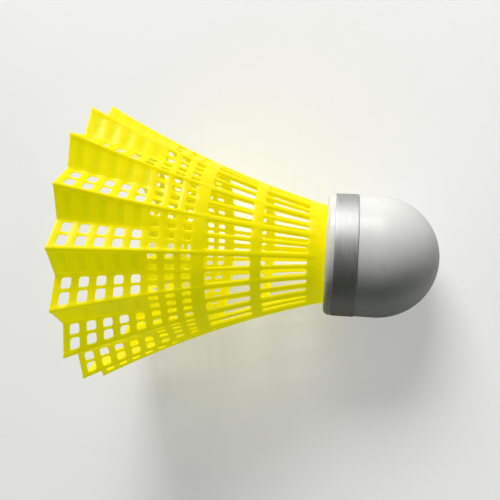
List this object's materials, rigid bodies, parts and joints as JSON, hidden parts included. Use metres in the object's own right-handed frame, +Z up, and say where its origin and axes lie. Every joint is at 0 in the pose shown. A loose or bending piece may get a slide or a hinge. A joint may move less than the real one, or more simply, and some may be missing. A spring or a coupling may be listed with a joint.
{
  "type": "badminton shuttlecock",
  "caption": "Synthetic shuttlecock with a flared, pleated open-mesh nylon skirt and a covered cork head with a tape band.",
  "frame": {"origin": "middle of the footprint on the floor that the shuttlecock lies on", "axes": "+Z up, +X the way the nose points as seen from above; the shuttlecock lies on two ridges of its rim and its head, with its axis in the XZ plane and the nose 15.5 degrees below level"},
  "size_m": [0.0834, 0.0638, 0.0614],
  "materials": {
    "nylon": "slightly translucent moulded nylon, satin",
    "agglomerated_cork": "granular",
    "natural_cork": "fine grained",
    "cover": "smooth white polyurethane skin, satin",
    "tape": "silver grey metallised tape",
    "glue": "hardened clear glue"
  },
  "bodies": {
    "root": {"nylon_skirt": "nylon", "cork_base": "agglomerated_cork", "cork_nose": "natural_cork", "head_cover": "cover", "head_band": "tape", "stem_glue": "glue"}
  },
  "joints": []
}
